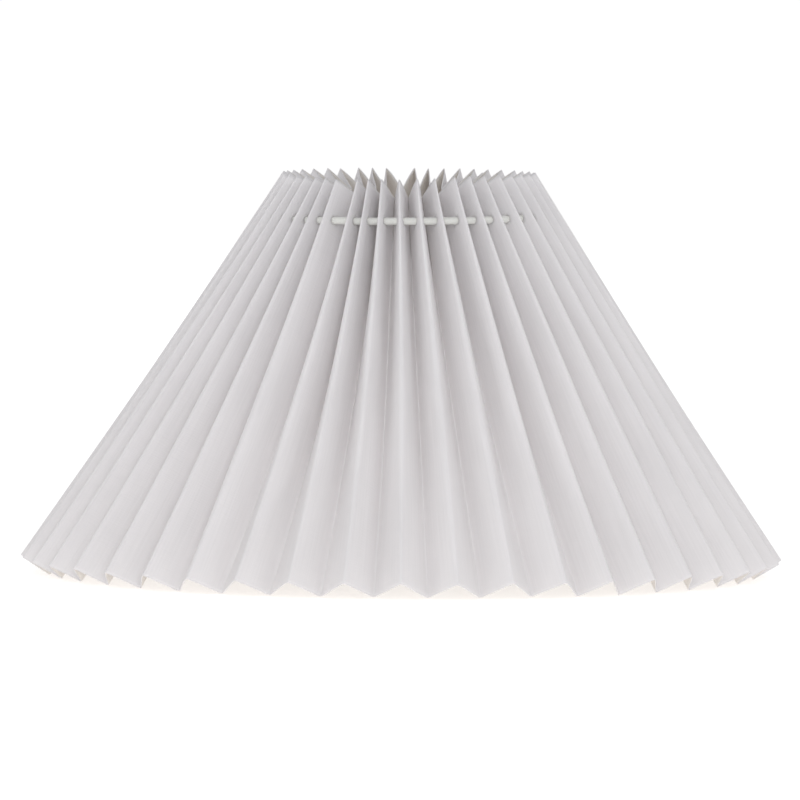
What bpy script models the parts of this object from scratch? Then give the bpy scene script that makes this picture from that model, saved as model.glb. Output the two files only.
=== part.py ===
"""Pleated lamp shade: one accordion-pleated sheet, gathered by a cord and held on a wire carrier.

Metres, +Z up. The origin is under the shade's centre, on the surface that its hem stands on.
The front faces -Y, and a turn of 0 is the outer fold at the front.
"""

import math

import bpy
import bmesh
from mathutils import Matrix, Vector

# --- Driving dimensions -----------------------------------------------------------------------

# The sheet, measured flat, and the two circles that its outer folds are gathered to.
PLEATS = 44
FACE_WIDTH = 0.0205  # from an outer fold to the next inner fold
SHEET_HEIGHT = 0.241  # along a fold, from the top edge to the hem
TOP_DIAMETER = 0.135  # across the outer folds at the top edge
HEM_DIAMETER = 0.400  # across the outer folds at the hem
SHEET_THICKNESS = 0.0005
FOLD_FLAT = 0.0007  # across the narrow flat that stands for a fold's round
ROWS_BELOW_RING = 4

# The gathering cord, and the holes punched for it in every face.
CORD_DIAMETER = 0.004
CORD_DROP = 0.020  # from the top edge to the holes, along the fold
HOLE_INSET = 0.0075  # from the outer fold to the holes, across the face
CORD_PLAY = 0.0003  # between the cord and its hole
KNOT_DIAMETER = 0.008
KNOT_SIDE_ROOM = 0.001  # between the knot and the face on either side
TAIL_LENGTH = 0.020
TAIL_INSET = 0.0002  # from the knot's side in to a tail's
KNOT_PLEAT = 22  # the knot lies in the valley that follows this outer fold

# The glued seam, where the two ends of the sheet overlap.
SEAM_PLEAT = 17  # the overlap is the face that follows this outer fold
LAP_NEAR = 0.0035  # from the outer fold to the end of the layer on top
LAP_FAR = 0.0125  # from the outer fold to the end of the layer underneath
TAPE_THICKNESS = 0.0002

# The wire carrier.
RING_WIRE = 0.003
RING_DROP = 0.031  # from the top edge to where the inner folds rest on the ring
RING_PLAY = 0.0007  # between the ring and the inner folds
ARMS = 3
ARM_WIRE = 0.003
ARM_LEVEL_RUN = 0.010  # the level length at either end of an arm
ARM_BEND = 0.006  # bend radius of the wire's centreline
WASHER_DROP = 0.018  # from the ring down to the middle of the lampholder washer
WASHER_DIAMETER = 0.056
WASHER_HOLE = 0.042  # passes the barrel of an E27 lampholder
WASHER_THICKNESS = 0.002

# The drop-in reducer for a narrower lampholder.
REDUCER_FLANGE = 0.050
REDUCER_FLANGE_THICKNESS = 0.0018
REDUCER_BORE = 0.029  # passes the barrel of an E14 lampholder
REDUCER_COLLAR_DEPTH = 0.006  # below the flange

GAP = 0.0003  # between pieces that touch
RING_STEPS = 64
TURNED_STEPS = 48

# --- Worked out from them ---------------------------------------------------------------------

TOP_RADIUS = TOP_DIAMETER / 2
HEM_RADIUS = HEM_DIAMETER / 2
SLOPE = math.asin((HEM_RADIUS - TOP_RADIUS) / SHEET_HEIGHT)  # outer folds against the vertical
PITCH = 2 * math.pi / PLEATS
SEAM_OFFSET = SHEET_THICKNESS + TAPE_THICKNESS + 2 * GAP  # between the middles of the two layers


def outer_radius(drop):
    return TOP_RADIUS + drop * math.sin(SLOPE)


def knot_spread():
    """The extra turn, either side of the knot's valley, that opens it wide enough at the top edge."""
    between_holes = KNOT_DIAMETER + 2 * (KNOT_SIDE_ROOM + SHEET_THICKNESS)
    half_opening = between_holes / 2 / (1 - HOLE_INSET / FACE_WIDTH)
    half_turn = math.asin(half_opening / outer_radius(CORD_DROP))
    return (half_turn - PITCH / 2) / (1 - CORD_DROP / SHEET_HEIGHT)


KNOT_SPREAD = knot_spread()


def outer_turn(pleat, drop):
    """Angle of an outer fold. Folds are even at the hem, and crowd away from the knot at the top."""
    from_knot = pleat - (KNOT_PLEAT + 0.5)
    from_knot -= PLEATS * round(from_knot / PLEATS)
    crowding = math.copysign(1 - abs(from_knot) / (PLEATS / 2), from_knot)
    return pleat * PITCH + KNOT_SPREAD * crowding * (1 - drop / SHEET_HEIGHT)


def outward(turn):
    return Vector((math.sin(turn), -math.cos(turn), 0))


def outer_fold(pleat, drop):
    """A point on an outer fold, that far below the top edge. The hem's lowest point is at z = 0."""
    return outer_radius(drop) * outward(outer_turn(pleat, drop)) + Vector(
        (0, 0, TOP_HEIGHT - drop * math.cos(SLOPE))
    )


def inner_fold(pleat, drop):
    """The inner fold after that outer fold: a face's width from both its neighbours, inwards and down."""
    before, after = outer_fold(pleat, drop), outer_fold(pleat + 1, drop)
    middle = (before + after) / 2
    inwards = -math.cos(SLOPE) * Vector((middle.x, middle.y, 0)).normalized()
    inwards.z = -math.sin(SLOPE)
    half_opening = (after - before).length / 2
    return middle + inwards * math.sqrt(FACE_WIDTH**2 - half_opening**2)


def bevelled(corners):
    """The corners with each fold cut off by its flat."""
    row = [corners[0]]
    for before, corner, after in zip(corners, corners[1:], corners[2:]):
        back, on = (before - corner).normalized(), (after - corner).normalized()
        setback = FOLD_FLAT / 2 / math.sin(back.angle(on) / 2)
        row += [corner + back * setback, corner + on * setback]
    return row + [corners[-1]]


def hem_depth():
    """From an outer fold to the flats of the inner folds beside it, at the hem."""
    half_opening = HEM_RADIUS * math.sin(PITCH / 2)
    sharp_depth = math.sqrt(FACE_WIDTH**2 - half_opening**2)
    return sharp_depth * (1 - FOLD_FLAT / 2 / half_opening)


HALF_SHEET_RISE = SHEET_THICKNESS / 2 * math.sin(SLOPE)  # the cut edge hangs below the sheet's middle
TOP_HEIGHT = SHEET_HEIGHT * math.cos(SLOPE) + hem_depth() * math.sin(SLOPE) + HALF_SHEET_RISE


def ring_place():
    """Radius and height of the ring's centreline, which lies inside the inner folds' flats."""
    row = bevelled([outer_fold(0, RING_DROP), inner_fold(0, RING_DROP), outer_fold(1, RING_DROP)])
    flat = (row[1] + row[2]) / 2
    clear = RING_WIRE / 2 + RING_PLAY + SHEET_THICKNESS / 2
    radius = math.hypot(flat.x, flat.y) - clear * math.cos(SLOPE)
    return radius, flat.z - clear * math.sin(SLOPE)


RING_RADIUS, RING_HEIGHT = ring_place()
WASHER_HEIGHT = RING_HEIGHT - WASHER_DROP

# --- Modelling helpers ------------------------------------------------------------------------


def clear_scene():
    for obj in list(bpy.data.objects):
        bpy.data.objects.remove(obj, do_unlink=True)


def plain_material(name, colour, roughness, metallic=0.0):
    material = bpy.data.materials.new(name)
    material.use_nodes = True
    shader = material.node_tree.nodes["Principled BSDF"]
    shader.inputs["Base Color"].default_value = (*colour, 1)
    shader.inputs["Roughness"].default_value = roughness
    shader.inputs["Metallic"].default_value = metallic
    return material


def add_object(name, data, material=None, location=(0, 0, 0)):
    obj = bpy.data.objects.new(name, data)
    bpy.context.scene.collection.objects.link(obj)
    obj.location = location
    if material:
        data.materials.append(material)
    return obj


def wire_curve(name, points, diameter, closed=False):
    """A round wire through the points, with eight sides and filled ends."""
    curve = bpy.data.curves.new(name, "CURVE")
    curve.dimensions = "3D"
    curve.twist_mode = "Z_UP"
    curve.bevel_depth = diameter / 2
    curve.bevel_resolution = 2
    curve.use_fill_caps = not closed
    spline = curve.splines.new("POLY")
    spline.points.add(len(points) - 1)
    for spline_point, point in zip(spline.points, points):
        spline_point.co = (*point, 1)
    spline.use_cyclic_u = closed
    return curve


def mesh_of_curve(name, curve):
    helper = add_object(name + "_curve", curve)
    mesh = bpy.data.meshes.new_from_object(helper)
    bpy.data.objects.remove(helper, do_unlink=True)
    bm = bmesh.new()
    bm.from_mesh(mesh)
    bmesh.ops.remove_doubles(bm, verts=bm.verts, dist=1e-6)
    bmesh.ops.recalc_face_normals(bm, faces=bm.faces)
    bm.to_mesh(mesh)
    bm.free()
    return mesh


def helper_object(name, mesh):
    """A cutter or a shape to be joined, which isn't a part itself."""
    obj = add_object(name, mesh)
    obj.hide_render = True
    obj.display_type = "WIRE"
    return obj


def add_boolean(obj, other, operation):
    modifier = obj.modifiers.new(f"{operation.lower()} {other.name}", "BOOLEAN")
    modifier.operation = operation
    modifier.solver = "EXACT"
    modifier.object = other


def circle_points(radius, steps):
    return [radius * outward(2 * math.pi * i / steps) for i in range(steps)]


def rounded_path(corners, radius, steps=4):
    """The corners joined by straight runs, with an arc of that radius at each bend."""
    path = [corners[0]]
    for before, corner, after in zip(corners, corners[1:], corners[2:]):
        into, out = (corner - before).normalized(), (after - corner).normalized()
        bend = into.angle(out)
        setback = radius * math.tan(bend / 2)
        axis = into.cross(out).normalized()
        centre = corner - into * setback + axis.cross(into) * radius
        spoke = corner - into * setback - centre
        path += [
            centre + Matrix.Rotation(bend * i / steps, 3, axis) @ spoke for i in range(steps + 1)
        ]
    return path + [corners[-1]]


def turned_mesh(name, profile):
    """A ring turned round +Z from a closed outline of (radius, height) corners."""
    bm = bmesh.new()
    corners = [bm.verts.new((radius, 0, height)) for radius, height in profile]
    edges = [bm.edges.new(pair) for pair in zip(corners, corners[1:] + corners[:1])]
    bmesh.ops.spin(
        bm,
        geom=corners + edges,
        cent=(0, 0, 0),
        axis=(0, 0, 1),
        angle=2 * math.pi,
        steps=TURNED_STEPS,
        use_merge=True,
    )
    bmesh.ops.remove_doubles(bm, verts=bm.verts, dist=1e-6)
    bmesh.ops.recalc_face_normals(bm, faces=bm.faces)
    mesh = bpy.data.meshes.new(name)
    bm.to_mesh(mesh)
    bm.free()
    mesh.shade_smooth()
    mesh.set_sharp_from_angle(angle=math.radians(30))
    return mesh


# --- The sheet --------------------------------------------------------------------------------


def seam_face(drop):
    """The seam's outer fold, the unit vector across its face, and the face's normal out of the shade."""
    outer = outer_fold(SEAM_PLEAT, drop)
    across = (inner_fold(SEAM_PLEAT, drop) - outer).normalized()
    down = (outer_fold(SEAM_PLEAT, SHEET_HEIGHT) - outer_fold(SEAM_PLEAT, 0)).normalized()
    into_valley = across.cross(down).normalized()
    if into_valley.dot(outer_fold(SEAM_PLEAT + 1, drop) - outer) < 0:
        into_valley.negate()
    return outer, across, into_valley


def sheet_row(drop):
    """The sheet across all its folds at one drop, from its end over the overlap to its end under it."""
    outer, across, into_valley = seam_face(drop)
    near, far = across * LAP_NEAR, across * LAP_FAR
    over = outer + into_valley * SEAM_OFFSET
    folds = [over + far, inner_fold(SEAM_PLEAT, drop)]
    for pleat in range(SEAM_PLEAT + 1, SEAM_PLEAT + PLEATS):
        folds += [outer_fold(pleat, drop), inner_fold(pleat, drop)]
    folds += [outer, outer + near]
    return [over + near, *bevelled(folds), outer + far]


def tape_row(drop):
    """The double-sided tape at one drop, as wide as the overlap and halfway between its layers."""
    outer, across, into_valley = seam_face(drop)
    middle = outer + into_valley * SEAM_OFFSET / 2
    return [middle + across * LAP_NEAR, middle + across * LAP_FAR]


def drops_below_ring():
    step = (SHEET_HEIGHT - RING_DROP) / ROWS_BELOW_RING
    return [RING_DROP + step * i for i in range(ROWS_BELOW_RING + 1)]


def make_strip(name, row_at, drops, thickness, material):
    """A strip with a row of points at each drop. All strips crease along the same diagonals."""
    bm = bmesh.new()
    rows = [[bm.verts.new(point) for point in row_at(drop)] for drop in drops]
    for upper, lower in zip(rows, rows[1:]):
        for i in range(len(upper) - 1):
            bm.faces.new((upper[i], lower[i], lower[i + 1]))
            bm.faces.new((upper[i], lower[i + 1], upper[i + 1]))
    mesh = bpy.data.meshes.new(name)
    bm.to_mesh(mesh)
    bm.free()
    obj = add_object(name, mesh, material)
    solidify = obj.modifiers.new("thickness", "SOLIDIFY")
    solidify.thickness = thickness
    solidify.offset = 0
    solidify.use_even_offset = True
    return obj


def hole_centre(pleat, inner_pleat):
    """Where the cord crosses the face between an outer fold and one of its two inner folds."""
    outer = outer_fold(pleat, CORD_DROP)
    inner = inner_fold(inner_pleat, CORD_DROP)
    return outer.lerp(inner, HOLE_INSET / FACE_WIDTH)


def cord_holes():
    """Every hole in order, from the one after the knot all the way round to the one before it."""
    holes = []
    for pleat in range(KNOT_PLEAT + 1, KNOT_PLEAT + 1 + PLEATS):
        holes += [hole_centre(pleat, pleat - 1), hole_centre(pleat, pleat)]
    return holes


def make_sheet(material):
    sheet = make_strip(
        "pleated_sheet", sheet_row, [0, *drops_below_ring()], SHEET_THICKNESS, material
    )
    punch = wire_curve("cord_punch", cord_holes(), CORD_DIAMETER + 2 * CORD_PLAY, closed=True)
    add_boolean(sheet, helper_object("cord_punch", mesh_of_curve("cord_punch", punch)), "DIFFERENCE")


def make_seam_tape(material):
    """It starts level with the ring, so that the cord passes above it."""
    make_strip("seam_tape", tape_row, drops_below_ring(), TAPE_THICKNESS, material)


# --- The cord ---------------------------------------------------------------------------------


def knot_centre():
    return (hole_centre(KNOT_PLEAT, KNOT_PLEAT) + hole_centre(KNOT_PLEAT + 1, KNOT_PLEAT)) / 2


def make_cord(material):
    """The cord from one side of the knot, through every hole, to the knot's other side."""
    holes = cord_holes()
    centre = knot_centre()
    reach = KNOT_DIAMETER / 2 + GAP
    start = centre + (holes[0] - centre).normalized() * reach
    end = centre + (holes[-1] - centre).normalized() * reach
    curve = wire_curve("gathering_cord", [start, *holes, end], CORD_DIAMETER)
    add_object("gathering_cord", curve, material)


def make_knot(material):
    """A ball for the knot's turns, and the cord's two cut ends lying down the valley beneath it."""
    centre = knot_centre()
    sideways = (hole_centre(KNOT_PLEAT + 1, KNOT_PLEAT) - centre).normalized()
    radial = Vector((centre.x, centre.y, 0)).normalized()
    down = radial * math.sin(SLOPE) - Vector((0, 0, math.cos(SLOPE)))
    spread = (KNOT_DIAMETER - CORD_DIAMETER) / 2 - TAIL_INSET
    bm = bmesh.new()
    bmesh.ops.create_uvsphere(bm, u_segments=12, v_segments=8, radius=KNOT_DIAMETER / 2)
    ball = bpy.data.meshes.new("cord_knot")
    bm.to_mesh(ball)
    bm.free()
    knot = add_object("cord_knot", ball, material, centre)
    for name, side in (("tail_1", -1), ("tail_2", 1)):
        run = [sideways * side * spread + down * reach for reach in (0, TAIL_LENGTH)]
        tail = helper_object(name, mesh_of_curve(name, wire_curve(name, run, CORD_DIAMETER)))
        tail.location = centre
        add_boolean(knot, tail, "UNION")


# --- The carrier ------------------------------------------------------------------------------


def make_ring(material):
    curve = wire_curve("carrier_ring", circle_points(RING_RADIUS, RING_STEPS), RING_WIRE, closed=True)
    add_object("carrier_ring", curve, material, (0, 0, RING_HEIGHT))


def make_arms(material):
    """Bent wires from the ring down to the washer, each standing inside an outer fold."""
    ring_end = RING_RADIUS - RING_WIRE / 2 - GAP
    washer_end = WASHER_DIAMETER / 2 + GAP
    corners = [
        Vector((ring_end, 0, RING_HEIGHT)),
        Vector((ring_end - ARM_LEVEL_RUN, 0, RING_HEIGHT)),
        Vector((washer_end + ARM_LEVEL_RUN, 0, WASHER_HEIGHT)),
        Vector((washer_end, 0, WASHER_HEIGHT)),
    ]
    path = rounded_path(corners, ARM_BEND)
    for i in range(ARMS):
        turn = outer_turn(round(i * PLEATS / ARMS), RING_DROP)
        curve = wire_curve(f"carrier_arm_{i + 1}", path, ARM_WIRE)
        arm = add_object(f"carrier_arm_{i + 1}", curve, material)
        arm.rotation_euler.z = turn - math.pi / 2


def make_washer(material):
    inner, outer = WASHER_HOLE / 2, WASHER_DIAMETER / 2
    half = WASHER_THICKNESS / 2
    profile = [(inner, -half), (outer, -half), (outer, half), (inner, half)]
    mesh = turned_mesh("lampholder_washer", profile)
    add_object("lampholder_washer", mesh, material, (0, 0, WASHER_HEIGHT))


def make_reducer(material):
    """A flanged ring that drops into the washer; its origin is in the seat of its flange."""
    bore, collar, flange = REDUCER_BORE / 2, WASHER_HOLE / 2 - GAP, REDUCER_FLANGE / 2
    profile = [
        (bore, -REDUCER_COLLAR_DEPTH),
        (collar, -REDUCER_COLLAR_DEPTH),
        (collar, 0),
        (flange, 0),
        (flange, REDUCER_FLANGE_THICKNESS),
        (bore, REDUCER_FLANGE_THICKNESS),
    ]
    seat = WASHER_HEIGHT + WASHER_THICKNESS / 2 + GAP
    add_object("reducer_ring", turned_mesh("reducer_ring", profile), material, (0, 0, seat))


def main():
    clear_scene()
    cloth = plain_material("laminated cloth", (0.80, 0.78, 0.80), 0.85)
    cord = plain_material("braided cord", (0.80, 0.81, 0.78), 0.7)
    tape = plain_material("double-sided tape", (0.86, 0.85, 0.80), 0.4)
    steel = plain_material("white painted steel", (0.85, 0.85, 0.84), 0.35)
    nylon = plain_material("white nylon", (0.88, 0.88, 0.86), 0.45)
    make_sheet(cloth)
    make_seam_tape(tape)
    make_cord(cord)
    make_knot(cord)
    make_ring(steel)
    make_arms(steel)
    make_washer(steel)
    make_reducer(nylon)


main()
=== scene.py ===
"""The looks of a pleated lamp shade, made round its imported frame. Metres, +Z up, the front faces -Y."""

import math

import bpy
import numpy as np
from mathutils import Matrix, Vector


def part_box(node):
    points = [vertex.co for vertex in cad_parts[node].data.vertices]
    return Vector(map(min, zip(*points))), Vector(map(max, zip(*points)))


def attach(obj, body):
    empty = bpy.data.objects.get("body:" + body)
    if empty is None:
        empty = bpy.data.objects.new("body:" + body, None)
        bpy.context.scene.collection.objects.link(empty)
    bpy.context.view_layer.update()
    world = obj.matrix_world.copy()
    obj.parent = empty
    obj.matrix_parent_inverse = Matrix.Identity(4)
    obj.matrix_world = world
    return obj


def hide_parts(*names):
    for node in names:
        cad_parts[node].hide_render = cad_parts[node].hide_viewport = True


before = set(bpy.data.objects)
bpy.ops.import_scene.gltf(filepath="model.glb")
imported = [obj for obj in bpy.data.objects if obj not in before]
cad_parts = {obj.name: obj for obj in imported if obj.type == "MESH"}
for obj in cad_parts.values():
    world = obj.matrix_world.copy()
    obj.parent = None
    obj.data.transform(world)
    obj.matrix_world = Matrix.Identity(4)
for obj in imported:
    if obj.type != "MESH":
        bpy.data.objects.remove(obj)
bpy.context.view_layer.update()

# --- Sizes, in metres ---------------------------------------------------------------------------

PLEATS = 44
PITCH = 2 * math.pi / PLEATS
FACE_WIDTH = 0.0205  # from an outer fold to the next inner fold
SHEET_HEIGHT = 0.241  # along a fold, from the top edge to the hem
TOP_RADIUS = 0.0675  # of the outer folds at the top edge
HEM_RADIUS = 0.200  # of the outer folds at the hem
SLOPE = math.asin((HEM_RADIUS - TOP_RADIUS) / SHEET_HEIGHT)
CLOTH_THICKNESS = 0.00045
SHEET_THICKNESS = 0.0005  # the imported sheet's own
FOLD_FLAT = 0.0007  # the part's own folds end in a flat this wide
LEAN = 0.0028  # how far the top edge's centre stands to the right of the hem's
FOLD_ROUND = 0.0009  # how far a fold's round reaches into a face at the two cut edges
FOLD_ROUND_MORE = 0.0022  # and how much further halfway down, where the crease is softest
VALLEY_ROUND = 0.0018  # how far an inner fold's round reaches into a face
BOW = 0.0007  # how far a face stands proud, a third of the way from its outer fold
BOW_AT_EDGES = 0.35  # the share of that bow at the two cut edges

CORD_DIAMETER = 0.0040
CORD_DROP = 0.020  # from the top edge to the cord's holes, along the fold
CORD_SLIP = 0.0007  # how far down it has settled
CORD_TILT = 0.0012  # and by how much less than that on the right, and more on the left
HOLE_INSET = 0.0075  # from the outer fold to a hole, across the face
HOLE_RADIUS = 0.00215
HOLE_CELL = 0.001  # the cloth's grid round a hole
HOLE_MARGIN = 0.0036  # half the square of cloth that the hole's grid takes up
KNOT_PLEAT = 22  # the knot lies in the valley that follows this outer fold
KNOT_DIAMETER = 0.008
KNOT_SIDE_ROOM = 0.001
TAIL_LENGTH = 0.020
TAIL_SPREAD = 0.0018

SEAM_PLEAT = 17  # the two ends of the cloth overlap on the face that follows this outer fold
LAP_NEAR = 0.0035
LAP_FAR = 0.0125
LAP_OFFSET = 0.0011  # between the middles of the lap's two layers
TAPE_THICKNESS = 0.0002
RING_DROP = 0.031  # from the top edge to where the inner folds rest on the ring

WIRE_RADIUS = 0.0015
ARM_LEVEL_RUN = 0.010
ARM_BEND = 0.006
ARM_GAP = 0.0003
ARM_PLEATS = (0, 15, 29)
WASHER_HOLE = 0.042
REDUCER_BORE = 0.029
REDUCER_FLANGE_THICKNESS = 0.0018

rng = np.random.default_rng(44)

# --- Small helpers ------------------------------------------------------------------------------


def linear(colour):
    """An sRGB hex colour as the linear RGBA that Blender's sockets take."""
    parts = [int(colour[i : i + 2], 16) / 255 for i in (1, 3, 5)]
    return (*[c / 12.92 if c <= 0.04045 else ((c + 0.055) / 1.055) ** 2.4 for c in parts], 1.0)


def add_node(tree, kind, inputs=None, links=None, stops=(), **settings):
    """Adds a node with its settings, its plain sockets, its links from outputs and its colour stops.

    A socket goes by its name or its number, and a stop is a position with an sRGB hex colour.
    """
    node = tree.nodes.new(kind)
    for name, value in settings.items():
        setattr(node, name, value)
    for name, value in (inputs or {}).items():
        node.inputs[name].default_value = value
    for name, output in (links or {}).items():
        tree.links.new(output, node.inputs[name])
    for number, (position, colour) in enumerate(stops):
        node.color_ramp.elements[number].position = position
        node.color_ramp.elements[number].color = linear(colour)
    return node


def new_material(name, **sockets):
    """A material with its Principled shader, whose plain sockets are given as words_with_underscores."""
    material = bpy.data.materials.new(name)
    material.use_nodes = True
    tree = material.node_tree
    shader = tree.nodes["Principled BSDF"]
    for socket, value in sockets.items():
        shader.inputs[socket.replace("_", " ")].default_value = value
    return material, tree, shader


def feed(tree, shader, **outputs):
    """Links outputs to the shader's sockets, whose names are given as words_with_underscores."""
    for socket, output in outputs.items():
        tree.links.new(output, shader.inputs[socket.replace("_", " ")])


def grains(tree, vector, size, detail=2.0, roughness=0.5):
    """A soft random pattern whose grains have that size in metres along each of the vector's axes."""
    scale = [1 / s for s in size]
    mapped = add_node(tree, "ShaderNodeMapping", {"Scale": scale}, {"Vector": vector})
    settings = {"Scale": 1.0, "Detail": detail, "Roughness": roughness}
    return add_node(tree, "ShaderNodeTexNoise", settings, {"Vector": mapped.outputs[0]}).outputs["Fac"]


def unit(vectors):
    """The vectors divided by their own lengths."""
    return vectors / np.linalg.norm(vectors, axis=-1, keepdims=True)


def smoothstep(x):
    """x^2 * (3 - 2 * x), with x held between 0 and 1."""
    x = np.clip(x, 0, 1)
    return x * x * (3 - 2 * x)


def grid_corners(columns, rows, wrap_columns=False, wrap_rows=False):
    """The four corners of each cell of a grid as (column, row), not yet wrapped."""
    c, r = np.meshgrid(
        np.arange(columns - (not wrap_columns)), np.arange(rows - (not wrap_rows)), indexing="ij"
    )
    columns_of_corners = np.stack([c, c + 1, c + 1, c], -1).reshape(-1, 4)
    rows_of_corners = np.stack([r, r, r + 1, r + 1], -1).reshape(-1, 4)
    return columns_of_corners, rows_of_corners


def mesh_object(name, points, faces, materials, uv=None):
    """A smooth mesh at the origin from an array of points and lists of point numbers."""
    mesh = bpy.data.meshes.new(name)
    faces = [list(map(int, face)) for face in faces]
    mesh.from_pydata(np.asarray(points, float).reshape(-1, 3).tolist(), [], faces)
    mesh.polygons.foreach_set("use_smooth", np.ones(len(mesh.polygons), bool))
    if uv is not None:
        layer = mesh.uv_layers.new(name="flat")
        layer.data.foreach_set("uv", np.asarray(uv, np.float32).ravel())
    mesh.update()
    obj = bpy.data.objects.new(name, mesh)
    bpy.context.scene.collection.objects.link(obj)
    for material in materials:
        mesh.materials.append(material)
    return obj


def strand_object(name, parts, material):
    """A mesh object from (points, faces, uv), in one material."""
    points, faces, uv = parts
    return mesh_object(name, points, faces, [material], uv)


def tube_parts(path, radius, up, sides, closed=False):
    """Points, faces and UVs of a tube: a ring at each path point, square to the path.

    The radius is one number for each ring, or one for each side of each ring.

    Side j of ring i is at path + radius * (cos(a) * side + sin(a) * top), where side is the path's
    direction crossed with up, top is side crossed with the direction, and a = 2 pi j / sides.
    """
    path = np.asarray(path, float)
    if closed:
        along = np.roll(path, -1, 0) - np.roll(path, 1, 0)
    else:
        along = np.gradient(path, axis=0)
    along = unit(along)
    side = unit(np.cross(along, up))
    top = np.cross(side, along)
    angle = 2 * math.pi * np.arange(sides) / sides
    radius = np.asarray(radius, float).reshape(len(path), -1, 1)
    points = path[:, None] + radius * (
        np.cos(angle)[None, :, None] * side[:, None] + np.sin(angle)[None, :, None] * top[:, None]
    )
    c, r = grid_corners(len(path), sides, closed, True)
    faces = (c % len(path)) * sides + r % sides
    steps = np.linalg.norm(np.diff(path, axis=0, append=path[:1]), axis=1)
    length = np.concatenate([[0], np.cumsum(steps)])
    uv = np.stack([length[c], r / sides], -1)
    faces, uv = faces.tolist(), uv.reshape(-1, 2).tolist()
    if not closed:
        first = list(range(sides))
        last = list(range((len(path) - 1) * sides, len(path) * sides))
        faces += [first, last[::-1]]
        for end in (0.0, float(length[-2])):
            uv += [[end, j / sides] for j in range(sides)]
    return points.reshape(-1, 3), faces, uv


def joined(parts):
    """Several (points, faces, uv) made one."""
    points, faces, uv, start = [], [], [], 0
    for some_points, some_faces, some_uv in parts:
        points.append(some_points)
        faces += [[i + start for i in face] for face in some_faces]
        uv += some_uv
        start += len(some_points)
    return np.concatenate(points), faces, uv


TIP_SHARE = 0.02  # a dome's tip isn't quite a point, so that its ring has a size


def round_ends(path, radius):
    """Radii along an open path whose two ends are domes.

    At a distance s from the end, the radius is sqrt(1 - (1 - s / radius)^2) of the whole.
    """
    steps = np.linalg.norm(np.diff(path, axis=0), axis=1)
    from_start = np.concatenate([[0], np.cumsum(steps)])
    near = np.minimum(from_start, from_start[-1] - from_start)
    share = np.clip(near / radius, TIP_SHARE, 1)
    return radius * np.sqrt(1 - (1 - share) ** 2)


FINE_STEPS = 24  # between two corners, before a curve is cut into even steps


def smooth_path(corners, step):
    """An open Catmull-Rom curve through the corners, in even steps of about that length."""
    p = np.asarray(corners, float)
    p = np.concatenate([2 * p[:1] - p[1:2], p, 2 * p[-1:] - p[-2:-1]])
    t = np.linspace(0, 1, FINE_STEPS, endpoint=False)[None, :, None]
    a, b, c, d = (p[i : len(p) - 3 + i][:, None] for i in range(4))
    fine = 0.5 * (2 * b + (c - a) * t + (2 * a - 5 * b + 4 * c - d) * t**2 + (3 * b - a - 3 * c + d) * t**3)
    fine = np.concatenate([fine.reshape(-1, 3), p[-2:-1]])
    length = np.concatenate([[0], np.cumsum(np.linalg.norm(np.diff(fine, axis=0), axis=1))])
    count = max(3, round(length[-1] / step))
    even = np.linspace(0, length[-1], count)
    return np.stack([np.interp(even, length, fine[:, i]) for i in range(3)], -1)


def corner_curve(before, corner, after, reach, steps):
    """A quadratic curve round a corner, from that reach before it to that reach after it.

    It is (1 - t)^2 * start + 2 * t * (1 - t) * corner + t^2 * end, for t from 0 to 1.
    """
    t = np.linspace(0, 1, steps + 1)[:, None]
    start = corner + unit(before - corner) * reach
    end = corner + unit(after - corner) * reach
    return (1 - t) ** 2 * start + 2 * t * (1 - t) * corner + t**2 * end


def rounded_outline(corners, reaches, steps=5):
    """A closed outline with a curve round each corner, which starts that corner's reach before it."""
    corners = np.asarray(corners, float)
    before, after = np.roll(corners, 1, 0), np.roll(corners, -1, 0)
    return np.concatenate([corner_curve(*points, steps) for points in zip(before, corners, after, reaches)])


TURNED_STEPS = 144


def turned_object(name, outline, height, material):
    """A closed outline of (radius, level), its outer side running down, turned round +Z and raised.

    Its points are (radius * sin(a), -radius * cos(a), level + height), for a once round the circle.
    """
    steps = TURNED_STEPS
    angle = 2 * math.pi * np.arange(steps) / steps
    radius, level = outline[:, 0][:, None], outline[:, 1][:, None] + height
    levels = np.broadcast_to(level, (len(outline), steps))
    points = np.stack([radius * np.sin(angle), -radius * np.cos(angle), levels], -1)
    c, r = grid_corners(len(outline), steps, True, True)
    faces = (c % len(outline)) * steps + r % steps
    return mesh_object(name, points, faces, [material])


def finish_piece(obj, slot, *replaced, body="shade"):
    """Gives a piece its body and hides the nodes of the frame that it stands in for. The slot is not used.
    """
    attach(obj, body)
    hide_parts(*replaced)


# --- The cloth ----------------------------------------------------------------------------------

# How gathering pushed the outer folds round, in degrees, at the top edge, halfway and at the hem.
# Each runs straight between these (outer fold, degrees), where fold 0 is the one at the front.
TOP_PUSH = (
    (-12, 1), (-8, 3), (-6, 1.5), (-4, -2.4), (-3, 0.4), (-2, -2.5), (-1, -4.5), (1, -4.7), (2, -4.8),
    (3, -3.4), (5, -4.2), (6, -3), (8, -2.5), (11, 0), (14, 2.5), (18, 3.5), (20, 3), (22, 0), (23, 0),
    (25, -2.5), (28, -1.5), (32, 1),
)  # fmt: skip
MIDDLE_PUSH = ((-12, 0), (-8, -0.6), (-5, 0.2), (-3, 1.1), (0, 0.3), (4, 0), (7, 1.5), (10, 0.5), (13, 0))
HEM_PUSH = ((-12, 0), (-7, -0.6), (-3, -0.6), (0, 0), (3, 0.5), (5, -0.2), (7, -0.9), (11, 0))
# How far the cut edge stands above its true height, in millimetres.
TOP_RISE = (
    (-12, 2), (-8, 1.2), (-6, 0.6), (-3, -0.2), (0, 0.4), (2, 1.4), (4, 2.6), (7, 3), (11, 2.2), (22, 1.6),
)  # fmt: skip
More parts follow.
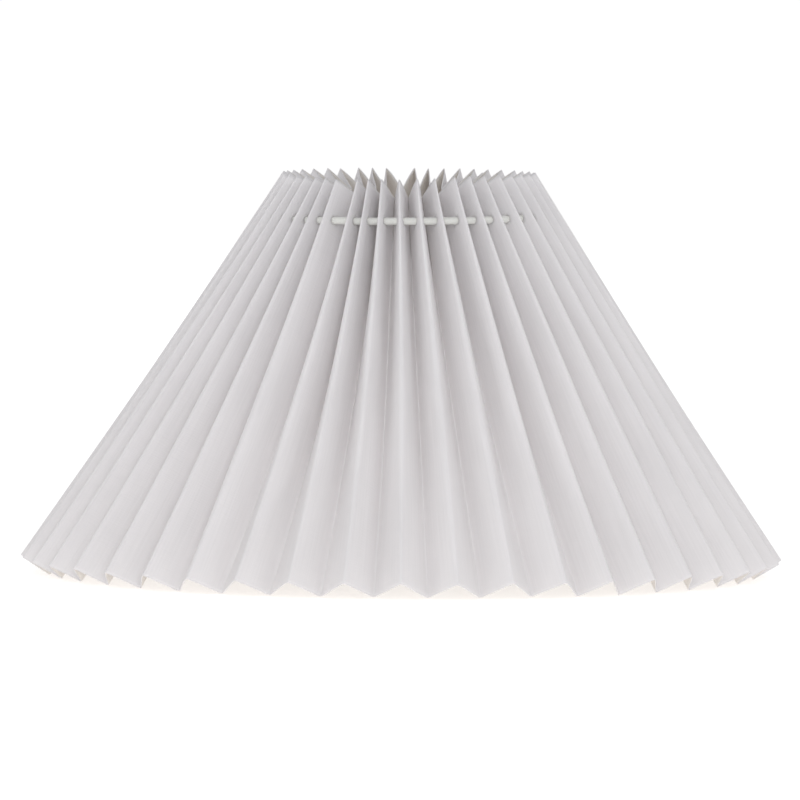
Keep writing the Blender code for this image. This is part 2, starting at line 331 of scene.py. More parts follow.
# How far a fold that isn't in front strays from the pushes, either way, in degrees.
STRAY_TOP, STRAY_HALFWAY, STRAY_HEM = 0.8, 0.3, 0.35
STRAY_RISE = 0.0002  # and how far any fold strays from the rises, in metres
FRONT_FOLDS, FRONT_FADE = 6, 3  # folds each side of the front one with no stray, and with less
KNOT_FADE = 2  # folds each side of the knot that have less stray too

RIDGE_WAVE_HEIGHT = 0.0005
HEM_CORNER_RISE = 0.0004
FACE_WAVE_HEIGHT = 0.0004


def pushes(through, stray):
    """Each outer fold's push in radians: straight lines round the cone through the given folds.

    The stray is added in full away from the front folds and the knot, and fades out towards both.
    """
    folds, degrees = zip(*through)
    push = np.interp(np.arange(PLEATS), folds, degrees, period=PLEATS)
    away = np.minimum(np.arange(PLEATS), PLEATS - np.arange(PLEATS))
    from_knot = np.abs(np.arange(PLEATS) - KNOT_PLEAT - 0.5)
    free = smoothstep((away - FRONT_FOLDS) / FRONT_FADE) * smoothstep((from_knot - 0.5) / KNOT_FADE)
    return np.radians(push + free * rng.uniform(-stray, stray, PLEATS))


PUSH_AT_TOP = pushes(TOP_PUSH, STRAY_TOP)
PUSH_HALFWAY = pushes(MIDDLE_PUSH, STRAY_HALFWAY)
PUSH_AT_HEM = pushes(HEM_PUSH, STRAY_HEM)
RISE = np.interp(np.arange(PLEATS), *zip(*TOP_RISE), period=PLEATS) * 0.001
RISE += rng.uniform(-STRAY_RISE, STRAY_RISE, PLEATS)
RIDGE_WAVE = rng.uniform(-1, 1, (PLEATS, 3))  # each outer fold's wave height, its place, the hem's rise
FACE_BOW = rng.uniform(0.5, 1.5, 2 * PLEATS)  # each face's bow, of the usual one
FACE_WAVE = rng.uniform(-1, 1, (2 * PLEATS, 2))  # each face's wave height, and its place


def outer_radius(drop):
    """The cone's radius: the top's, plus the drop times the sine of the slope."""
    return TOP_RADIUS + drop * math.sin(SLOPE)


def knot_spread():
    """The extra turn, either side of the knot's valley, that makes room for the knot."""
    between_holes = KNOT_DIAMETER + 2 * (KNOT_SIDE_ROOM + SHEET_THICKNESS)
    half_opening = between_holes / 2 / (1 - HOLE_INSET / FACE_WIDTH)
    half_turn = math.asin(half_opening / outer_radius(CORD_DROP))
    return (half_turn - PITCH / 2) / (1 - CORD_DROP / SHEET_HEIGHT)


def top_height():
    """The top edge's height, which puts the hem's lowest points on the floor."""
    half_opening = HEM_RADIUS * math.sin(PITCH / 2)
    depth = math.sqrt(FACE_WIDTH**2 - half_opening**2) * (1 - FOLD_FLAT / 2 / half_opening)
    return SHEET_HEIGHT * math.cos(SLOPE) + (depth + SHEET_THICKNESS / 2) * math.sin(SLOPE)


KNOT_SPREAD = knot_spread()
TOP_HEIGHT = top_height()


def even_turn(pleat, drop):
    """Even spacing, plus the crowding away from the knot, which fades evenly to the hem."""
    from_knot = (pleat - KNOT_PLEAT - 0.5 + PLEATS / 2) % PLEATS - PLEATS / 2
    crowding = np.sign(from_knot) * (1 - np.abs(from_knot) / (PLEATS / 2))
    return pleat * PITCH + KNOT_SPREAD * crowding * (1 - drop / SHEET_HEIGHT)


def outer_turn(pleat, drop):
    """The angle of an outer fold at a drop below the top edge.

    It is the even turn plus the pushes, mixed so that a fold stays a straight line in space but
    for the halfway push, which bows it by half a sine wave.
    """
    share = drop / SHEET_HEIGHT
    index = pleat % PLEATS
    middle_radius = (TOP_RADIUS + HEM_RADIUS) / 2
    moved = (
        (1 - share) * TOP_RADIUS * PUSH_AT_TOP[index]
        + share * HEM_RADIUS * PUSH_AT_HEM[index]
        + np.sin(math.pi * share) * middle_radius * PUSH_HALFWAY[index]
    )
    return even_turn(pleat, drop) + moved / outer_radius(drop)


def outer_fold(pleat, drop):
    """Points on outer folds: on the cone at the fold's angle, with a slow wave in the radius.

    Above the cord the fold runs on past its true height by rise * (1 - drop / CORD_DROP)^2. The
    wave is sin(2.2 pi * (share + its place)) * sin(pi * share), times its height. At the hem the
    fold ends higher by HEM_CORNER_RISE * (1 + its rise) * share^4.
    """
    pleat, drop = np.asarray(pleat), np.asarray(drop, float)
    turn = outer_turn(pleat, drop)
    drop = drop - RISE[pleat % PLEATS] * np.maximum(1 - drop / CORD_DROP, 0) ** 2
    share = drop / SHEET_HEIGHT
    wave = RIDGE_WAVE[pleat % PLEATS]
    ripple = np.sin(2.2 * math.pi * (share + wave[..., 1])) * np.sin(math.pi * share)
    radius = outer_radius(drop) + RIDGE_WAVE_HEIGHT * wave[..., 0] * ripple
    hem_rise = HEM_CORNER_RISE * (1 + wave[..., 2]) * share**4
    height = TOP_HEIGHT - drop * math.cos(SLOPE) + hem_rise
    return np.stack([radius * np.sin(turn), -radius * np.cos(turn), height], axis=-1)


def inner_fold(pleat, drop):
    """Points on the inner folds after those outer folds: a face's width from both, inwards and down."""
    before, after = outer_fold(pleat, drop), outer_fold(np.asarray(pleat) + 1, drop)
    middle = (before + after) / 2
    level = np.hypot(middle[..., 0], middle[..., 1])
    inwards = -np.stack(
        [
            middle[..., 0] / level * math.cos(SLOPE),
            middle[..., 1] / level * math.cos(SLOPE),
            np.full_like(level, math.sin(SLOPE)),
        ],
        axis=-1,
    )
    half_opening = np.linalg.norm(after - before, axis=-1) / 2
    return middle + inwards * np.sqrt(FACE_WIDTH**2 - half_opening**2)[..., None]


SETTLED_AT, SETTLED_UNTIL = 0.012, 0.027  # the drops between which the cord moved the cloth in full
SETTLED_FADE = 0.06
TILT_BACK = 0.3  # by this share the tilt is weaker towards the front and stronger towards the back


def settled(pleat, drop):
    """Drops moved with the cord, which has slipped down a little, by less on the right than on the left.

    The move is CORD_SLIP - CORD_TILT * sin(turn) * (1 - TILT_BACK * cos(turn)). It grows from the
    top edge, is full round the holes and fades out below them.
    """
    turn = pleat * PITCH
    moves = smoothstep(drop / SETTLED_AT) * (1 - smoothstep((drop - SETTLED_UNTIL) / SETTLED_FADE))
    return drop + (CORD_SLIP - CORD_TILT * np.sin(turn) * (1 - TILT_BACK * np.cos(turn))) * moves


def leaning(points, drop):
    """The points moved to the right by the lean, in full at the top edge and not at all at the hem."""
    moved = np.array(points)
    moved[..., 0] += LEAN * (1 - drop / SHEET_HEIGHT)
    return moved


SHORT_STEP = 1e-4  # down a fold, to find which way it runs


def cloth_points(outer, inner, distance, drop, depth):
    """Points on the pleated cloth.

    A point lies on the straight line across its face from the outer to the inner fold. It is moved
    along the face's normal by a bow and by its depth in the lap. The bow is 27 / 4 * share *
    (1 - share)^2 of the face's own height, plus a slow wave down the face times sin(2 pi * share),
    and both are full halfway down the face and BOW_AT_EDGES of that at the cut edges. Near either
    fold the point is moved towards the inside of that fold, which rounds it, by cos(half the
    fold's angle) * (reach - distance)^2 / (2 * reach).
    """
    drop = settled(outer, drop)
    ridge, valley = outer_fold(outer, drop), inner_fold(inner, drop)
    across = (valley - ridge) / FACE_WIDTH
    down = outer_fold(outer, drop + SHORT_STEP) - ridge
    normal = unit(np.cross(down, across)) * np.where(inner == outer, 1.0, -1.0)[..., None]
    share, along = distance / FACE_WIDTH, drop / SHEET_HEIGHT
    face = (2 * outer + (inner == outer)) % (2 * PLEATS)
    wave = FACE_WAVE_HEIGHT * FACE_WAVE[face, 0] * np.sin(math.pi * (1.5 * along + FACE_WAVE[face, 1]))
    bow = BOW * FACE_BOW[face] * 27 / 4 * share * (1 - share) ** 2 + wave * np.sin(2 * math.pi * share)
    bow *= BOW_AT_EDGES + (1 - BOW_AT_EDGES) * np.sin(math.pi * along)
    points = ridge + across * distance[..., None] + normal * (bow + depth)[..., None]

    other_valley = inner_fold(np.where(inner == outer, outer - 1, outer), drop)
    other_ridge = outer_fold(np.where(inner == outer, outer + 1, outer - 1), drop)
    soft = FOLD_ROUND + FOLD_ROUND_MORE * np.sin(math.pi * along)
    for fold, inside, near, reach in (
        (ridge, (valley + other_valley) / 2 - ridge, distance, soft),
        (valley, (ridge + other_ridge) / 2 - valley, FACE_WIDTH - distance, VALLEY_ROUND),
    ):
        length = np.linalg.norm(inside, axis=-1)
        move = length / FACE_WIDTH * np.maximum(reach - near, 0) ** 2 / (2 * reach)
        points += inside * (move / length)[..., None]
    return leaning(points, drop)


def face_distances():
    """The cloth's columns across one face: close at the folds and round the hole."""
    near = [0, 0.0005, 0.0011, 0.0019, 0.0028]
    hole = HOLE_INSET + np.array([-HOLE_MARGIN, *np.arange(-2, 3) * HOLE_CELL, 0.004])
    far = [0.015, 0.0182, 0.0191, 0.0199, FACE_WIDTH]
    return np.array([*near, *hole, *far])


def row_drops():
    """The cloth's rows: close at the two cut edges and round the holes, and even below those."""
    hole = CORD_DROP + np.array([-HOLE_MARGIN, *np.arange(-2, 3) * HOLE_CELL, HOLE_MARGIN])
    above = [0, 0.0015, 0.006, 0.011]
    below = np.linspace(0.030, SHEET_HEIGHT - 0.0015, 22)
    return np.array([*above, *hole, *below, SHEET_HEIGHT])


CLEAR_OF_LAP = 1e-4  # a column nearer than this to an end of the lap gives way to it


def cloth_columns():
    """The cloth's columns: arrays of outer fold, inner fold, distance from the outer fold and depth.

    They run from the cloth's end on top of the lap right round to its end underneath.
    """
    face = face_distances()
    inside_lap = (face > LAP_NEAR + CLEAR_OF_LAP) & (face < LAP_FAR - CLEAR_OF_LAP)
    lap = np.union1d(face[inside_lap], [LAP_NEAR, LAP_FAR])
    columns = [(SEAM_PLEAT, SEAM_PLEAT, d, LAP_OFFSET) for d in lap]
    to_fold = face[face > LAP_FAR + CLEAR_OF_LAP]
    fade = (to_fold - LAP_FAR) / (FACE_WIDTH - LAP_FAR)
    columns += [(SEAM_PLEAT, SEAM_PLEAT, d, LAP_OFFSET * (1 - f)) for d, f in zip(to_fold, fade)]
    last = SEAM_PLEAT + PLEATS
    for pleat in range(SEAM_PLEAT + 1, last + 1):
        columns += [(pleat, pleat - 1, d, 0) for d in face[-2::-1]]
        if pleat < last:
            columns += [(pleat, pleat, d, 0) for d in face[1:]]
    before_lap = face[(face > 0) & (face < LAP_NEAR - CLEAR_OF_LAP)]
    columns += [(last, last, d, 0) for d in (*before_lap, *lap)]
    outer, inner, distance, depth = zip(*columns)
    return np.array(outer), np.array(inner), np.array(distance, float), np.array(depth, float)


def round_holes(distance, drop):
    """Moves the square of grid points round each hole onto its circle, keeping each one's direction.

    The square lies two cells from the hole's centre. The points inside it are returned as a mask,
    and are dropped.
    """
    across, down = distance - HOLE_INSET, drop - CORD_DROP
    square = np.maximum(np.abs(across), np.abs(down))
    from_centre = np.maximum(np.hypot(across, down), 1e-9)
    grow = np.where(np.isclose(square, 2 * HOLE_CELL), HOLE_RADIUS / from_centre, 1)
    return HOLE_INSET + across * grow, CORD_DROP + down * grow, square < 1.5 * HOLE_CELL


def make_cloth(outside, inside):
    """The cloth as one strip of grid cells round all the folds, with its outside and inside materials.

    Its UV map is the strip laid flat, in metres: the way along it, and the height above the hem.
    Returns the cloth and the strip's length.
    """
    outer, inner, distance, depth = cloth_columns()
    drops = row_drops()
    outer, inner, distance, depth, drop = np.broadcast_arrays(
        outer[:, None], inner[:, None], distance[:, None], depth[:, None], drops[None]
    )
    along_strip = np.cumsum(np.abs(np.diff(distance, axis=0, prepend=distance[:1])), axis=0)
    moved, moved_drop, in_hole = round_holes(distance, drop)
    along_strip = along_strip + np.where(inner == outer, 1, -1) * (moved - distance)
    points = cloth_points(outer, inner, moved, moved_drop, depth).reshape(-1, 3)

    c, r = grid_corners(*distance.shape)
    faces = (c * len(drops) + r)[:, ::-1]
    faces = faces[~in_hole.ravel()[faces].any(axis=1)]
    used, faces = np.unique(faces, return_inverse=True)
    faces = faces.reshape(-1, 4)
    flat = np.stack([along_strip, SHEET_HEIGHT - moved_drop], -1).reshape(-1, 2)[used]
    obj = mesh_object("pleated_cloth", points[used], faces, [outside, inside], flat[faces])
    thickness = obj.modifiers.new("cloth thickness", "SOLIDIFY")
    thickness.thickness = CLOTH_THICKNESS
    thickness.offset = 0
    thickness.use_even_offset = True
    thickness.material_offset = 1
    finish_piece(obj, "cloth", "pleated_sheet")
    return obj, float(along_strip.max())


TAPE_INSET = 0.0003  # from each end of the lap
TAPE_TO_HEM = 0.001
TAPE_COLUMNS, TAPE_ROWS = 6, 30


def make_lap_tape(material):
    """The tape between the lap's two layers: the same face, halfway in depth, a little narrower."""
    columns = np.linspace(LAP_NEAR + TAPE_INSET, LAP_FAR - TAPE_INSET, TAPE_COLUMNS)
    rows = np.linspace(RING_DROP, SHEET_HEIGHT - TAPE_TO_HEM, TAPE_ROWS)
    distance, drop = np.meshgrid(columns, rows, indexing="ij")
    fold = np.full(distance.shape, SEAM_PLEAT)
    points = cloth_points(fold, fold, distance, drop, np.full(distance.shape, LAP_OFFSET / 2))
    c, r = grid_corners(*distance.shape)
    faces = (c * distance.shape[1] + r)[:, ::-1]
    flat = np.stack([distance, SHEET_HEIGHT - drop], -1).reshape(-1, 2)
    obj = mesh_object("lap_tape", points, faces, [material], flat[faces])
    thickness = obj.modifiers.new("tape thickness", "SOLIDIFY")
    thickness.thickness = TAPE_THICKNESS
    thickness.offset = 0
    finish_piece(obj, "tape", "seam_tape")
    return obj


# --- The cord and its knot ----------------------------------------------------------------------

BRAID_LENGTH = 0.0045  # along the cord, for a strand to go once round it
BRAID_STRANDS = 8  # each way round
BRAID_RELIEF, TIGHT_RELIEF = 0.00008, 0.00006  # how deep its grooves are, and where it is drawn tight
CORD_SIDES, KNOT_SIDES = 20, 28
CORD_STEP, TAIL_STEP = 0.0006, 0.0005
CORD_END = 0.35  # where the cord runs into the knot, as a share of the way from its middle to a hole
KNOT_SCALE = 0.00088
KNOT_FULLNESS = 1.3  # how thick the knot stands, for its width
KNOT_STEPS = 150
TIGHT_RADIUS, TAIL_RADIUS = 0.00150, 0.0019
RIGHT_TAIL = 0.94  # the right tail's length, of the left one's
# The tails' routes: the share of their length, how far to the side and how far out from the valley.
TAIL_ROUTE = ((0.05, 0.0010, 0), (0.3, 0.0017, 0.0006), (0.65, TAIL_SPREAD, 0.0002))
TAIL_END = (TAIL_SPREAD + 0.0002, 0.0008)


def hole_centre(outer, inner):
    """Where the cord crosses a face: on the straight line across it, at the hole's inset."""
    drop = settled(outer, np.full(np.shape(outer), CORD_DROP))
    ridge, valley = outer_fold(outer, drop), inner_fold(inner, drop)
    return leaning(ridge + (valley - ridge) * HOLE_INSET / FACE_WIDTH, drop)


def braided(length, angle):
    """A braid's surface from 0 in its grooves to 1 on its strands.

    Two families of strands wind opposite ways; the height is the larger of |cos| of each family's
    phase, strands * (angle / 2 -+ pi * length / BRAID_LENGTH).
    """
    turned = 2 * math.pi * length / BRAID_LENGTH
    one = np.abs(np.cos(BRAID_STRANDS / 2 * (angle - turned)))
    other = np.abs(np.cos(BRAID_STRANDS / 2 * (angle + turned)))
    return np.maximum(one, other)


def cord_tube(path, up, closed=False, radius=CORD_DIAMETER / 2, relief=BRAID_RELIEF, sides=KNOT_SIDES):
    """A braided tube: its radius dips by relief * (1 - braided), and an open one's ends are domes."""
    steps = np.linalg.norm(np.diff(path, axis=0, prepend=path[:1]), axis=1)
    length = np.cumsum(steps)[:, None]
    angle = 2 * math.pi * np.arange(sides)[None] / sides
    envelope = np.full(len(path), radius) if closed else round_ends(path, radius)
    return tube_parts(path, envelope[:, None] - relief * (1 - braided(length, angle)), up, sides, closed)


def make_cord(material):
    """The cord through every hole, from one side of the knot right round to the other."""
    pleats = np.arange(KNOT_PLEAT + 1, KNOT_PLEAT + 1 + PLEATS)
    holes = np.stack([hole_centre(pleats, pleats - 1), hole_centre(pleats, pleats)], 1).reshape(-1, 3)
    middle = (holes[0] + holes[-1]) / 2
    ends = [middle + (hole - middle) * CORD_END for hole in (holes[0], holes[-1])]
    path = smooth_path([ends[0], *holes, ends[1]], CORD_STEP)
    obj = strand_object("gathering_cord_braid", cord_tube(path, (0, 0, 1), sides=CORD_SIDES), material)
    finish_piece(obj, "cord", "gathering_cord")


def make_knot(material):
    """An overhand knot and the cord's two cut ends.

    The knot is the trefoil (sin t + 2 sin 2t, cos t - 2 cos 2t, -KNOT_FULLNESS sin 3t), times
    KNOT_SCALE. The tails leave it side by side and lie down the valley.
    """
    holes = hole_centre(np.array([KNOT_PLEAT, KNOT_PLEAT + 1]), np.array([KNOT_PLEAT, KNOT_PLEAT]))
    centre = holes.mean(axis=0)
    sideways = unit(holes[1] - holes[0])
    radial = unit(centre * (1, 1, 0))
    down = radial * math.sin(SLOPE) - np.array([0, 0, math.cos(SLOPE)])
    outwards = np.cross(sideways, down)
    outwards *= np.sign(outwards @ radial)
    t = 2 * math.pi * np.arange(KNOT_STEPS)[:, None] / KNOT_STEPS
    loop = centre + KNOT_SCALE * (
        (np.sin(t) + 2 * np.sin(2 * t)) * sideways
        + (np.cos(t) - 2 * np.cos(2 * t)) * down
        - KNOT_FULLNESS * np.sin(3 * t) * outwards
    )
    parts = [cord_tube(loop, outwards, closed=True, radius=TIGHT_RADIUS, relief=TIGHT_RELIEF)]
    for side, length in ((-1, 1.0), (1, RIGHT_TAIL)):
        corners = [
            centre + down * share * TAIL_LENGTH + sideways * side * spread + outwards * out
            for share, spread, out in (*TAIL_ROUTE, (length, *TAIL_END))
        ]
        parts.append(cord_tube(smooth_path(corners, TAIL_STEP), outwards, radius=TAIL_RADIUS))
    obj = strand_object("cord_knot_tied", joined(parts), material)
    finish_piece(obj, "cord", "cord_knot")


# --- The carrier --------------------------------------------------------------------------------

RING_BOX, WASHER_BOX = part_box("carrier_ring"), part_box("lampholder_washer")
RING_HEIGHT = (RING_BOX[0][2] + RING_BOX[1][2]) / 2
RING_RADIUS = RING_BOX[1][0] - WIRE_RADIUS
WASHER_HEIGHT = (WASHER_BOX[0][2] + WASHER_BOX[1][2]) / 2
WASHER_RADIUS = WASHER_BOX[1][0]
WASHER_THICKNESS = WASHER_BOX[1][2] - WASHER_BOX[0][2]

WIRE_SIDES = 20
RING_STEPS = 240
RING_WELD_TURN = math.pi * 1.06  # just past the back
RING_WELD, RING_WELD_REACH = 0.18, 0.0012  # how much thicker the wire is there, and how far from it
ARM_WELD, ARM_WELD_REACH = 0.35, 0.0011
BEND_STEPS = 8
# How far each edge is rounded, in the order of the outline's corners.
WASHER_ROUNDS = (0.0005, 0.0006, 0.0005, 0.0004)
REDUCER_ROUNDS = (0.0006, 0.0008, 0.0005, 0.0004, 0.0006, 0.0004)


def welded(distance, bead, reach):
    """The wire's radius at a distance from a weld: 1 + bead * exp(-(distance / reach)^2) of its own."""
    return WIRE_RADIUS * (1 + bead * np.exp(-((distance / reach) ** 2)))


def make_ring(material):
    """A wire circle whose ends meet in a butt weld at the back."""
    turn = np.linspace(0, 2 * math.pi, RING_STEPS, endpoint=False)
    level = np.full(RING_STEPS, RING_HEIGHT)
    path = np.stack([RING_RADIUS * np.sin(turn), -RING_RADIUS * np.cos(turn), level], -1)
    radius = welded((turn - RING_WELD_TURN) * RING_RADIUS, RING_WELD, RING_WELD_REACH)
    tube = tube_parts(path, radius, (0, 0, 1), WIRE_SIDES, True)
    obj = strand_object("carrier_ring_wire", tube, material)
    finish_piece(obj, "steel", "carrier_ring")


def straight(start, end, first, last, count):
    """Even points on the line from start to end, between those two shares of the way."""
    return start + (end - start) * np.linspace(first, last, count)[:, None]


def make_arm(number, pleat, material):
    """A wire from the ring down to the washer, bent twice, with a bead of weld at either end."""
    turn = even_turn(pleat, RING_DROP)
    radial = np.array([math.sin(turn), -math.cos(turn), 0])
    across = np.array([math.cos(turn), math.sin(turn), 0])
    start, end = RING_RADIUS - WIRE_RADIUS - ARM_GAP, WASHER_RADIUS + ARM_GAP
    corners = np.array(
        [
            [start, RING_HEIGHT],
            [start - ARM_LEVEL_RUN, RING_HEIGHT],
            [end + ARM_LEVEL_RUN, WASHER_HEIGHT],
            [end, WASHER_HEIGHT],
        ]
    )
    upper = corner_curve(*corners[:3], ARM_BEND / 2, BEND_STEPS)
    lower = corner_curve(*corners[1:], ARM_BEND / 2, BEND_STEPS)
    lead = straight(corners[0], upper[0], 0, 0.95, 12)
    middle = straight(upper[-1], lower[0], 0.1, 0.9, 8)
    tail = straight(lower[-1], corners[3], 0.05, 1, 12)
    flat = np.concatenate([lead, upper, middle, lower, tail])
    path = flat[:, :1] * radial + flat[:, 1:] * np.array([0, 0, 1])
    length = np.concatenate([[0], np.cumsum(np.linalg.norm(np.diff(path, axis=0), axis=1))])
    radius = welded(np.minimum(length, length[-1] - length), ARM_WELD, ARM_WELD_REACH)
    name = f"carrier_arm_{number}"
    obj = strand_object(name + "_wire", tube_parts(path, radius, across, WIRE_SIDES), material)
    finish_piece(obj, "steel", name)


def make_washer(material):
    """A pressed washer: a flat ring with both edges rounded over."""
    half, inner = WASHER_THICKNESS / 2, WASHER_HOLE / 2
    corners = [(inner, half), (WASHER_RADIUS, half), (WASHER_RADIUS, -half), (inner, -half)]
    outline = rounded_outline(corners, WASHER_ROUNDS)
    obj = turned_object("lampholder_washer_pressed", outline, WASHER_HEIGHT, material)
    finish_piece(obj, "steel", "lampholder_washer")


def make_reducer(material):
    """The drop-in reducer: a flange with a collar under it, its edges rounded as moulded."""
    low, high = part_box("reducer_ring")
    bore, flange, collar = REDUCER_BORE / 2, high[0], WASHER_HOLE / 2 - ARM_GAP
    seat = high[2] - REDUCER_FLANGE_THICKNESS
    corners = [
        (bore, high[2]), (flange, high[2]), (flange, seat), (collar, seat), (collar, low[2]), (bore, low[2]),
    ]  # fmt: skip
    outline = rounded_outline(corners, REDUCER_ROUNDS)
    obj = turned_object("reducer_ring_moulded", outline, 0, material)
    finish_piece(obj, "nylon", "reducer_ring", body="reducer")


# --- Materials ----------------------------------------------------------------------------------


def see_light_through(tree, shader, colour, share):
    """Mixes in a Translucent shader, so that part of the light on the other side comes through."""
    through = add_node(tree, "ShaderNodeBsdfTranslucent", {"Color": linear(colour)})
    shaders = {1: shader.outputs["BSDF"], 2: through.outputs["BSDF"]}
    mix = add_node(tree, "ShaderNodeMixShader", {"Fac": share}, shaders)
    tree.links.new(mix.outputs["Shader"], tree.nodes["Material Output"].inputs["Surface"])


def cloth_outside():
    """Polyester crepe, woven plain: a matte white, with fine slubs down the folds."""
    material, tree, shader = new_material(
        "woven polyester cloth",
        Roughness=0.88,
        Specular_IOR_Level=0.25,
        Sheen_Weight=0.12,
        Sheen_Roughness=0.5,
    )
    uv = add_node(tree, "ShaderNodeUVMap", uv_map="flat").outputs["UV"]
    # Threads lie 0.35 mm apart, too fine to show, so the slubs are drawn 1 mm wide and 60 mm long.
    slubs = grains(tree, uv, (0.0010, 0.060, 1), detail=3.0, roughness=0.6)
    weft = grains(tree, uv, (0.014, 0.0009, 1))
    mottle = grains(tree, uv, (0.020, 0.060, 1), detail=3.0)
    half_slubs = add_node(tree, "ShaderNodeMath", {1: 0.5}, {0: slubs}, operation="MULTIPLY")
    half_mottle = add_node(tree, "ShaderNodeMath", {1: 0.5}, {0: mottle}, operation="MULTIPLY")
    halves = {0: half_slubs.outputs[0], 1: half_mottle.outputs[0]}
    tone = add_node(tree, "ShaderNodeMath", links=halves, operation="ADD").outputs[0]
    shades = ((0.35, "#F5F3F5"), (0.65, "#FEFCFE"))
    colour = add_node(tree, "ShaderNodeValToRGB", links={"Fac": tone}, stops=shades)
    half_weft = add_node(tree, "ShaderNodeMath", {1: 0.5}, {0: weft}, operation="MULTIPLY")
    threads = {0: slubs, 1: half_weft.outputs[0]}
    height = add_node(tree, "ShaderNodeMath", links=threads, operation="ADD").outputs[0]
    weave = add_node(tree, "ShaderNodeBump", {"Strength": 0.4, "Distance": 0.0004}, {"Height": height})
    feed(tree, shader, Base_Color=colour.outputs["Color"], Normal=weave.outputs["Normal"])
    see_light_through(tree, shader, "#F4F1EE", 0.26)
    return material


def cloth_inside():
    """The film laminated on the cloth's back: smooth, faintly glossy and a little warmer."""
    material, tree, shader = new_material("laminated polypropylene film", Roughness=0.5)
    uv = add_node(tree, "ShaderNodeUVMap", uv_map="flat").outputs["UV"]
    mottle = grains(tree, uv, (0.012, 0.040, 1), detail=3.0)
    shades = ((0.3, "#F2EEE9"), (0.7, "#F8F5F1"))
    colour = add_node(tree, "ShaderNodeValToRGB", links={"Fac": mottle}, stops=shades)
    height = grains(tree, uv, (0.004, 0.010, 1))
    dimples = add_node(tree, "ShaderNodeBump", {"Strength": 0.2, "Distance": 0.0002}, {"Height": height})
    feed(tree, shader, Base_Color=colour.outputs["Color"], Normal=dimples.outputs["Normal"])
    see_light_through(tree, shader, "#F4EEE8", 0.26)
    return material


def cord_braid():
    """Braided polyester cord: off-white, with a soft shine on each strand."""
    material, tree, shader = new_material("braided polyester cord", Roughness=0.45, Sheen_Weight=0.2)
    uv = add_node(tree, "ShaderNodeUVMap", uv_map="flat").outputs["UV"]
    fibres = grains(tree, uv, (0.0008, 0.03, 1), detail=3.0)
    shades = ((0.3, "#DBDBD5"), (0.7, "#E9E9E4"))
    colour = add_node(tree, "ShaderNodeValToRGB", links={"Fac": fibres}, stops=shades)
    lines = add_node(tree, "ShaderNodeBump", {"Strength": 0.3, "Distance": 0.0001}, {"Height": fibres})
    feed(tree, shader, Base_Color=colour.outputs["Color"], Normal=lines.outputs["Normal"])
    return material


def powder_coat():
    """Steel with a white powder coat: an even, slightly pebbled skin with a soft shine."""
    material, tree, shader = new_material("powder-coated steel", Roughness=0.38, Coat_Weight=0.1)
    place = add_node(tree, "ShaderNodeTexCoord").outputs["Object"]
    pebbles = grains(tree, place, (0.0009, 0.0009, 0.0009))
    shades = ((0.3, "#EAEAE7"), (0.7, "#F1F1EF"))
    colour = add_node(tree, "ShaderNodeValToRGB", links={"Fac": pebbles}, stops=shades)
    skin = add_node(tree, "ShaderNodeBump", {"Strength": 0.25, "Distance": 0.0001}, {"Height": pebbles})
    feed(tree, shader, Base_Color=colour.outputs["Color"], Normal=skin.outputs["Normal"])
    return material


def moulded_nylon():
    """Injection-moulded white nylon: a fine matte mould texture and a waxy shine."""
    material, tree, shader = new_material("moulded nylon", Roughness=0.45, IOR=1.53)
    place = add_node(tree, "ShaderNodeTexCoord").outputs["Object"]
    grain = grains(tree, place, (0.0006, 0.0006, 0.0006))
    cloud = grains(tree, place, (0.012, 0.012, 0.012))
    shades = ((0.3, "#EEEEEA"), (0.7, "#F4F4F1"))
    colour = add_node(tree, "ShaderNodeValToRGB", links={"Fac": cloud}, stops=shades)
    skin = add_node(tree, "ShaderNodeBump", {"Strength": 0.2, "Distance": 0.0001}, {"Height": grain})
    feed(tree, shader, Base_Color=colour.outputs["Color"], Normal=skin.outputs["Normal"])
    return material


def double_sided_tape():
    """Double-sided tape: yellowish and milky, with a slightly tacky shine."""
    material, tree, shader = new_material("double-sided tape", Roughness=0.35)
    uv = add_node(tree, "ShaderNodeUVMap", uv_map="flat").outputs["UV"]
    cloud = grains(tree, uv, (0.003, 0.006, 1), detail=3.0)
    shades = ((0.3, "#E4E0CF"), (0.7, "#EEEBDD"))
    colour = add_node(tree, "ShaderNodeValToRGB", links={"Fac": cloud}, stops=shades)
    feed(tree, shader, Base_Color=colour.outputs["Color"])
    return material


# --- Camera, floor and light --------------------------------------------------------------------

CAMERA_DISTANCE = 6.475
CAMERA_ELEVATION = math.radians(3.21)
CAMERA_ROLL = math.radians(0.45)
CAMERA_LENS, CAMERA_SENSOR = 555, 36  # millimetres
CAMERA_SIGHT = 100
CAMERA_AIM = Vector((-0.0012, 0, 0.0912))


def make_camera():
    """A camera in front and a little above, turned by its roll about the line to its aim."""
    data = bpy.data.cameras.new("camera")
    data.lens = CAMERA_LENS
    data.sensor_width = CAMERA_SENSOR
    data.clip_end = CAMERA_SIGHT
    camera = bpy.data.objects.new("camera", data)
    back = Vector((0, -math.cos(CAMERA_ELEVATION), math.sin(CAMERA_ELEVATION)))
    camera.location = CAMERA_AIM + back * CAMERA_DISTANCE
    turn = (-back).to_track_quat("-Z", "Y").to_matrix().to_4x4()
    camera.rotation_euler = (turn @ Matrix.Rotation(CAMERA_ROLL, 4, "Z")).to_euler()
    bpy.context.scene.collection.objects.link(camera)
    bpy.context.scene.camera = camera
    bpy.context.scene.view_settings.view_transform = "Standard"


FLOOR_REACH, FLOOR_LEVEL = 25.0, -0.0002  # the level keeps it just clear of the hem
FLOOR_GLOW, FLOOR_GLOW_STRENGTH = (1.0, 0.975, 0.955, 1), 0.54


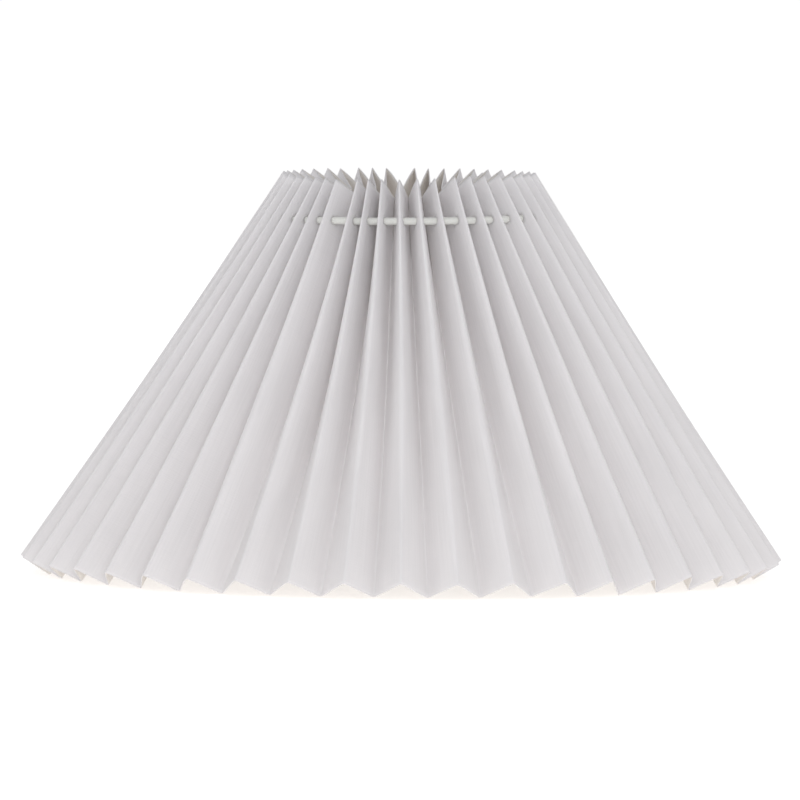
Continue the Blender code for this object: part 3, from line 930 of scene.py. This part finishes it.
def make_floor():
    """A white floor that glows a little, like a light table, so that shadows on it stay pale."""
    material, _, _ = new_material(
        "white light table",
        Base_Color=linear("#F0F0F0"),
        Roughness=0.9,
        Specular_IOR_Level=0.0,
        Emission_Color=FLOOR_GLOW,
        Emission_Strength=FLOOR_GLOW_STRENGTH,
    )
    signs = ((-1, -1), (1, -1), (1, 1), (-1, 1))
    corners = [(x * FLOOR_REACH, y * FLOOR_REACH, FLOOR_LEVEL) for x, y in signs]
    mesh_object("floor", corners, [(0, 1, 2, 3)], [material])


STUDIO_WHITE = (0.965, 0.98, 1.0, 1.0)
SURROUND_LIGHT = 0.57  # of white, from all round
LIGHT_DISTANCE = 3.7
# Each light's name, azimuth to the right of the front, elevation, watts and size, in degrees and metres.
LIGHTS = (
    ("left light", -58, 18, 8, 2.2),
    ("front light", 2, 10, 24, 1.4),
    ("back light", 180, 30, 16, 2.2),
    ("right light", 52, 18, 8, 2.2),
)


def add_soft_light(name, azimuth, elevation, power, size):
    """A round light of that size, aimed from its azimuth and elevation at the middle of the floor."""
    turn, rise = math.radians(azimuth), math.radians(elevation)
    direction = Vector((math.sin(turn) * math.cos(rise), -math.cos(turn) * math.cos(rise), math.sin(rise)))
    data = bpy.data.lights.new(name, "AREA")
    data.shape = "DISK"
    data.size = size
    data.energy = power
    data.color = STUDIO_WHITE[:3]
    light = bpy.data.objects.new(name, data)
    light.location = direction * LIGHT_DISTANCE
    light.rotation_euler = (-light.location).to_track_quat("-Z", "Y").to_euler()
    bpy.context.scene.collection.objects.link(light)


def make_light():
    """A white surround, a soft light on either side, one from the front and one from behind."""
    world = bpy.data.worlds.new("white studio")
    world.use_nodes = True
    world.node_tree.nodes["Background"].inputs["Color"].default_value = STUDIO_WHITE
    world.node_tree.nodes["Background"].inputs["Strength"].default_value = SURROUND_LIGHT
    bpy.context.scene.world = world
    for light in LIGHTS:
        add_soft_light(*light)


def main():
    """The stage first, then every piece."""
    make_camera()
    make_floor()
    make_light()
    cloth, flat_length = make_cloth(cloth_outside(), cloth_inside())
    tape = make_lap_tape(double_sided_tape())
    cord_material, steel = cord_braid(), powder_coat()
    make_cord(cord_material)
    make_knot(cord_material)
    make_ring(steel)
    for number, pleat in enumerate(ARM_PLEATS, 1):
        make_arm(number, pleat, steel)
    make_washer(steel)
    make_reducer(moulded_nylon())


main()
